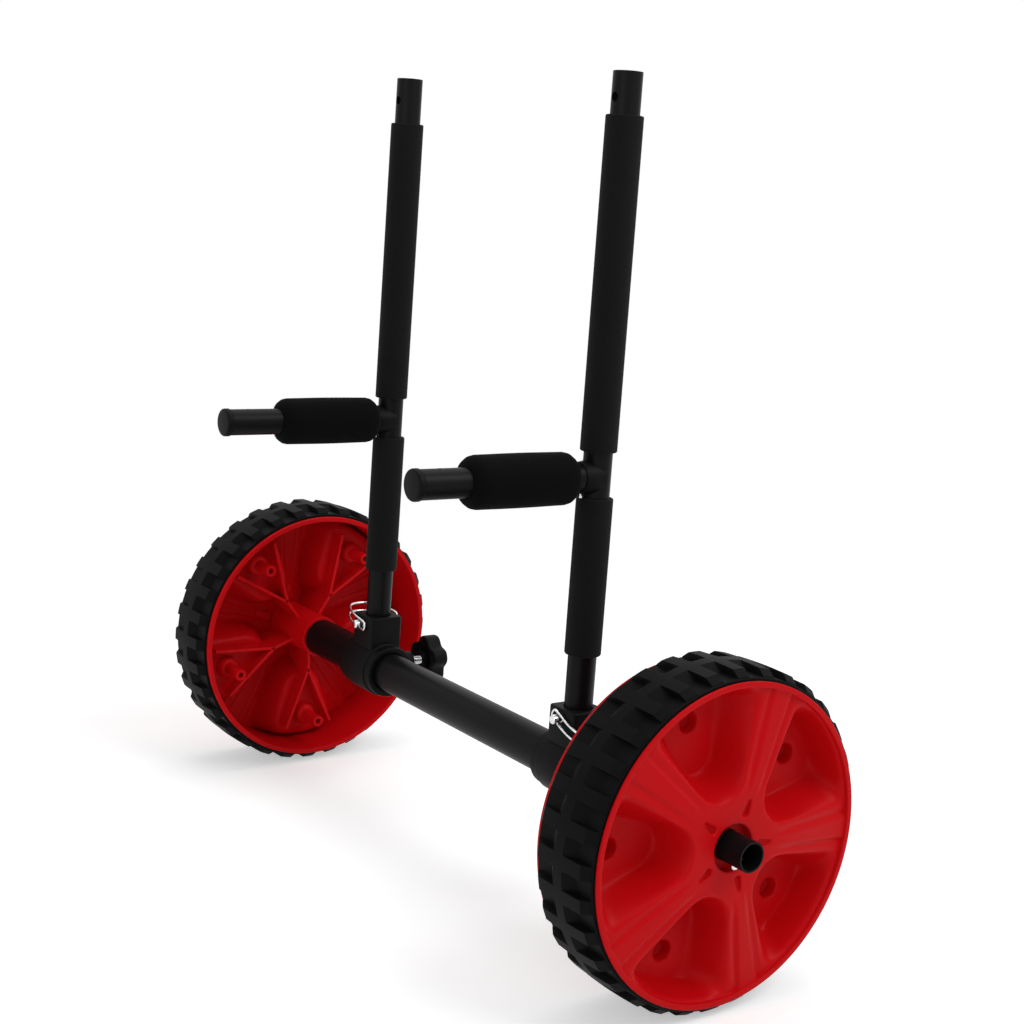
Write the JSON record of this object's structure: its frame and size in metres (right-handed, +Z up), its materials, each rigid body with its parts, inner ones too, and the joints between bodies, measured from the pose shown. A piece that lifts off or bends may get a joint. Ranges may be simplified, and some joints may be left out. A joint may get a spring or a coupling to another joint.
{
  "type": "kayak cart",
  "caption": "Two-wheeled kayak cart with a tubular axle, clamped upright posts, foam-covered side arms, lock pins and knob clamps.",
  "frame": {"origin": "under the middle of the whole cart's box, on the ground that the tyres stand on", "axes": "+X along the axle to the right wheel, +Y away from the arms towards the clamp knobs, +Z up along the posts"},
  "size_m": [0.689, 0.286, 0.645],
  "materials": {
    "red_hub": "satin moulded polypropylene",
    "tyre_rubber": "matte moulded rubber",
    "black_tube": "black satin anodised tube",
    "black_moulding": "black moulded nylon, fine grain",
    "black_foam": "closed-cell foam, matte",
    "zinc_steel": "bright zinc plate",
    "brass_insert": "turned brass"
  },
  "bodies": {
    "axle": {"axle_outer_tube": "black_tube", "axle_inner_tube": "black_tube", "left_axle_bush": "black_moulding", "right_axle_bush": "black_moulding", "left_button_spring": "zinc_steel", "right_button_spring": "zinc_steel"},
    "left_wheel": {"left_hub": "red_hub", "left_tyre": "tyre_rubber"},
    "right_wheel": {"right_hub": "red_hub", "right_tyre": "tyre_rubber"},
    "left_button": {"left_snap_button": "zinc_steel"},
    "right_button": {"right_snap_button": "zinc_steel"},
    "left_post": {"left_socket": "black_moulding", "left_clamp_insert": "brass_insert", "left_post_tube": "black_tube", "left_lower_sleeve": "black_foam", "left_upper_sleeve": "black_foam", "left_arm_saddle": "black_moulding", "left_arm_tube": "black_tube", "left_arm_screw": "zinc_steel", "left_arm_pad": "black_foam", "left_arm_cap": "black_moulding"},
    "right_post": {"right_socket": "black_moulding", "right_clamp_insert": "brass_insert", "right_post_tube": "black_tube", "right_lower_sleeve": "black_foam", "right_upper_sleeve": "black_foam", "right_arm_saddle": "black_moulding", "right_arm_tube": "black_tube", "right_arm_screw": "zinc_steel", "right_arm_pad": "black_foam", "right_arm_cap": "black_moulding"},
    "left_clamp": {"left_clamp_stud": "zinc_steel"},
    "right_clamp": {"right_clamp_stud": "zinc_steel"},
    "left_handknob": {"left_knob": "black_moulding"},
    "right_handknob": {"right_knob": "black_moulding"},
    "left_pin": {"left_lock_pin": "zinc_steel", "left_pin_bail": "zinc_steel"},
    "right_pin": {"right_lock_pin": "zinc_steel", "right_pin_bail": "zinc_steel"}
  },
  "joints": [
    {"name": "left_wheel_spin", "type": "hinge", "parent": "axle", "child": "left_wheel", "pos_m": [-0.292, 0.019, 0.124], "axis": [1, 0, 0], "continuous": true},
    {"name": "right_wheel_spin", "type": "hinge", "parent": "axle", "child": "right_wheel", "pos_m": [0.292, 0.019, 0.124], "axis": [1, 0, 0], "continuous": true},
    {"name": "left_button_press", "type": "slide", "parent": "axle", "child": "left_button", "axis": [0, 0, 1], "range_m": [0, 0.0034], "stiffness_N_per_m": 2500, "springref_m": -0.002, "deforming": ["left_button_spring"]},
    {"name": "right_button_press", "type": "slide", "parent": "axle", "child": "right_button", "axis": [0, 0, 1], "range_m": [0, 0.0034], "stiffness_N_per_m": 2500, "springref_m": -0.002, "deforming": ["right_button_spring"]},
    {"name": "left_post_slide", "type": "slide", "parent": "axle", "child": "left_post", "axis": [1, 0, 0], "range_m": [-0.056, 0.105]},
    {"name": "right_post_slide", "type": "slide", "parent": "axle", "child": "right_post", "axis": [1, 0, 0], "range_m": [-0.1, 0.064]},
    {"name": "left_knob_turn", "type": "hinge", "parent": "left_clamp", "child": "left_handknob", "pos_m": [-0.1535, 0.076, 0.124], "axis": [0, 1, 0], "range_deg": [0, 1450]},
    {"name": "right_knob_turn", "type": "hinge", "parent": "right_clamp", "child": "right_handknob", "pos_m": [0.1455, 0.076, 0.124], "axis": [0, 1, 0], "range_deg": [0, 1450]},
    {"name": "left_clamp_travel", "type": "slide", "parent": "left_post", "child": "left_clamp", "axis": [0, 1, 0], "range_m": [0, 0.005]},
    {"name": "right_clamp_travel", "type": "slide", "parent": "right_post", "child": "right_clamp", "axis": [0, 1, 0], "range_m": [0, 0.005]},
    {"name": "left_pin_turn", "type": "hinge", "parent": "left_post", "child": "left_pin", "pos_m": [-0.1535, 0.019, 0.164], "axis": [0, 1, 0], "range_deg": [-34, 56]},
    {"name": "right_pin_turn", "type": "hinge", "parent": "right_post", "child": "right_pin", "pos_m": [0.1455, 0.019, 0.164], "axis": [0, 1, 0], "range_deg": [-88, 2]}
  ],
  "couplings": [
    {"joint": "left_knob_turn", "follows": "left_clamp_travel", "rad_per_m": 5026.5},
    {"joint": "right_knob_turn", "follows": "right_clamp_travel", "rad_per_m": 5026.5}
  ]
}
